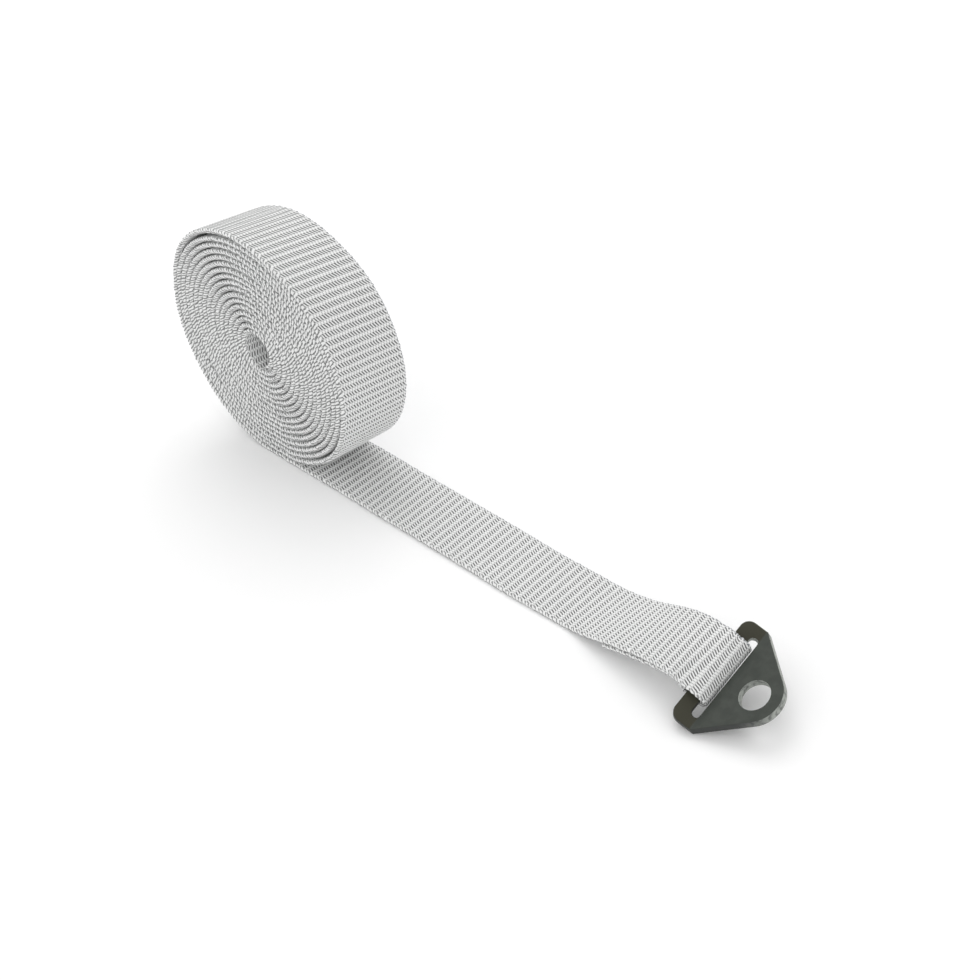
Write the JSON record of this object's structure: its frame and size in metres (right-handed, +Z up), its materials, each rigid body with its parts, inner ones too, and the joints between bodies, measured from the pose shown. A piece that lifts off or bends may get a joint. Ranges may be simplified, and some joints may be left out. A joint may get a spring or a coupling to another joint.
{
  "type": "webbing anchor strap",
  "caption": "Length of ribbed pale grey webbing wound into a roll, its free end looped through the slot of a dark bent steel anchor plate with a bolt hole.",
  "frame": {"origin": "middle of the whole part's footprint, on the surface it rests on", "axes": "+X runs from the roll along the tail to the anchor plate, +Y along the roll's axis, +Z up"},
  "size_m": [0.26, 0.0384, 0.0945],
  "materials": {
    "webbing": "ribbed woven polyester webbing, pale grey",
    "plate_steel": "dark grey phosphate coat, bare bright sheared edges"
  },
  "bodies": {
    "strap": {"webbing_strap": "webbing"},
    "plate": {"anchor_plate": "plate_steel"}
  },
  "joints": [
    {"name": "plate_swing", "type": "hinge", "parent": "strap", "child": "plate", "pos_m": [0.10333, -0.00029, 0.01024], "axis": [0.0353, 0.9346, 0.354], "range_deg": [-90, 95]}
  ]
}
